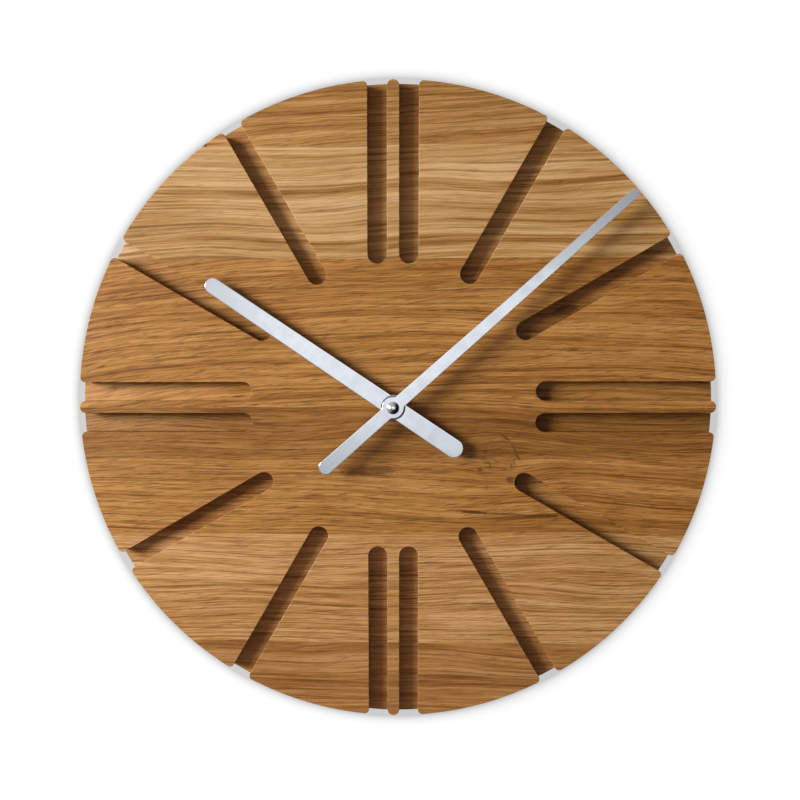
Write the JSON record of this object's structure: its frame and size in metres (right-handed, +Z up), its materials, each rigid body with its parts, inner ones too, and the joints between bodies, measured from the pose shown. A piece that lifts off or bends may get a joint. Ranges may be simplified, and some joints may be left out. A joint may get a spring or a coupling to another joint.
{
  "type": "wall clock",
  "caption": "Round solid-oak wall clock with milled grooves as hour marks, slim silver hands, a polished centre cap and a battery quartz movement let into the back.",
  "frame": {"origin": "the nail that the clock hangs on, in the plane of the wall", "axes": "+Z up, +Y into the wall, so the dial faces -Y, +X to the viewer's right"},
  "size_m": [0.34, 0.0338, 0.3401],
  "materials": {
    "oak": "oiled",
    "hand_silver": "satin",
    "polished_chrome": "polished",
    "nickel": "satin",
    "brass": "satin",
    "zinc_steel": "zinc plated",
    "black_plastic": "fine texture",
    "white_plastic": "smooth",
    "black_rubber": "matte",
    "copper_wire": "enamelled copper wire",
    "board_green": "solder mask",
    "chip_epoxy": "gloss",
    "magnet": "sintered",
    "cell_sleeve": "gloss"
  },
  "bodies": {
    "clock": {"oak_dial": "oak", "hanger_plate": "zinc_steel", "hanger_screw_top": "zinc_steel", "hanger_screw_bottom": "zinc_steel", "dial_washer": "brass", "hex_nut": "brass", "rubber_gasket": "black_rubber", "front_case": "black_plastic", "back_cover": "black_plastic", "train_bridge": "white_plastic", "stator": "zinc_steel", "coil_core": "zinc_steel", "coil_bobbin": "white_plastic", "coil_winding": "copper_wire", "circuit_board": "board_green", "control_chip": "chip_epoxy", "quartz_crystal": "polished_chrome", "contact_negative": "zinc_steel", "contact_positive": "zinc_steel"},
    "minute": {"minute_hand": "hand_silver", "minute_hand_bush": "brass", "cap_nut": "polished_chrome", "minute_arbor": "nickel", "clutch_spring": "zinc_steel"},
    "hour": {"hour_hand": "hand_silver", "hour_hand_collet": "nickel", "hour_wheel": "white_plastic"},
    "setting": {"setting_knob": "white_plastic", "motion_wheel": "white_plastic"},
    "second": {"second_wheel": "white_plastic"},
    "third": {"third_wheel": "white_plastic"},
    "centre": {"centre_wheel": "white_plastic"},
    "intermediate": {"intermediate_wheel": "white_plastic"},
    "rotor": {"rotor_arbor": "white_plastic", "rotor_magnet": "magnet"},
    "battery": {"battery_cell": "cell_sleeve"}
  },
  "joints": [
    {"name": "minute_spin", "type": "hinge", "parent": "clock", "child": "minute", "pos_m": [0, 0, -0.05685], "axis": [0, 1, 0], "continuous": true},
    {"name": "hour_spin", "type": "hinge", "parent": "clock", "child": "hour", "pos_m": [0, 0, -0.05685], "axis": [0, 1, 0], "continuous": true},
    {"name": "setting_spin", "type": "hinge", "parent": "clock", "child": "setting", "pos_m": [-0.01083, 0, -0.05685], "axis": [0, 1, 0], "continuous": true},
    {"name": "second_spin", "type": "hinge", "parent": "clock", "child": "second", "pos_m": [0, 0, -0.05685], "axis": [0, 1, 0], "continuous": true},
    {"name": "third_spin", "type": "hinge", "parent": "clock", "child": "third", "pos_m": [0.01008, 0, -0.05685], "axis": [0, 1, 0], "continuous": true},
    {"name": "centre_spin", "type": "hinge", "parent": "clock", "child": "centre", "pos_m": [0, 0, -0.05685], "axis": [0, 1, 0], "continuous": true},
    {"name": "intermediate_spin", "type": "hinge", "parent": "clock", "child": "intermediate", "pos_m": [0.00359, 0, -0.04698], "axis": [0, 1, 0], "continuous": true},
    {"name": "rotor_spin", "type": "hinge", "parent": "clock", "child": "rotor", "pos_m": [0.01036, 0, -0.04452], "axis": [0, 1, 0], "continuous": true},
    {"name": "battery_slide", "type": "slide", "parent": "clock", "child": "battery", "axis": [0, 1, 0], "range_m": [0, 0.02]}
  ],
  "couplings": [
    {"joint": "hour_spin", "follows": "minute_spin", "ratio": 0.083333},
    {"joint": "setting_spin", "follows": "minute_spin", "ratio": -0.33333},
    {"joint": "third_spin", "follows": "second_spin", "ratio": -0.13333},
    {"joint": "centre_spin", "follows": "second_spin", "ratio": 0.016667},
    {"joint": "intermediate_spin", "follows": "second_spin", "ratio": -6},
    {"joint": "rotor_spin", "follows": "second_spin", "ratio": 30}
  ]
}
